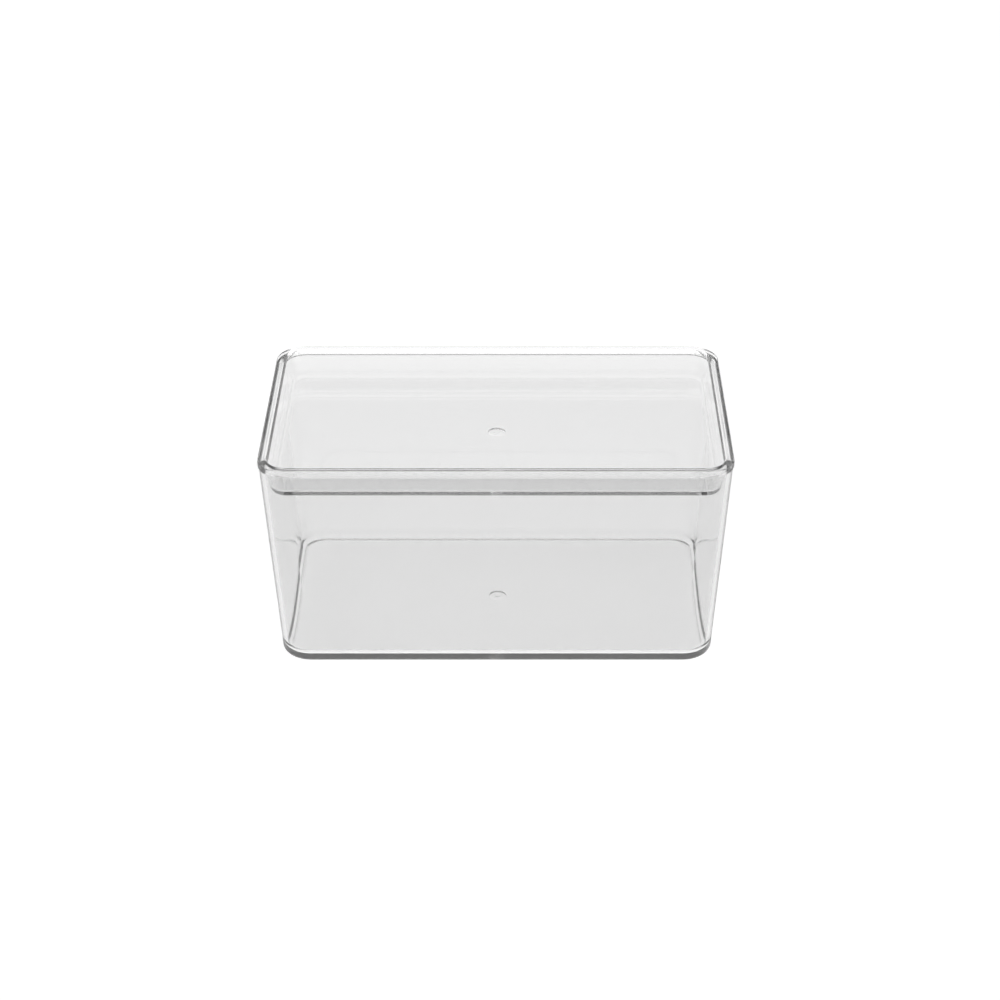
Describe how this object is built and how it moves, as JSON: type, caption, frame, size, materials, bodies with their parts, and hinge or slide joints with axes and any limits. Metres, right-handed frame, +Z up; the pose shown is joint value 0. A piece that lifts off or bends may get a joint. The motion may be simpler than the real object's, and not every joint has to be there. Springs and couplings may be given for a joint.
{
  "type": "storage box with lid",
  "caption": "Clear rectangular storage box: a tapered tub with rounded corners and a lift-off lid whose flange lies on the rim and whose sunken tray fits the mouth.",
  "frame": {"origin": "centre of the face that the closed box stands on", "axes": "+X along the box's length, +Y towards its back long side, +Z up through the lid"},
  "size_m": [0.26, 0.15, 0.129],
  "materials": {
    "tub_plastic": "gloss",
    "lid_plastic": "gloss"
  },
  "bodies": {
    "tub": {"tub": "tub_plastic"},
    "lid": {"lid": "lid_plastic"}
  },
  "joints": [
    {"name": "lid_lift", "type": "slide", "parent": "tub", "child": "lid", "axis": [0, 0, 1], "range_m": [0, 0.12]}
  ]
}
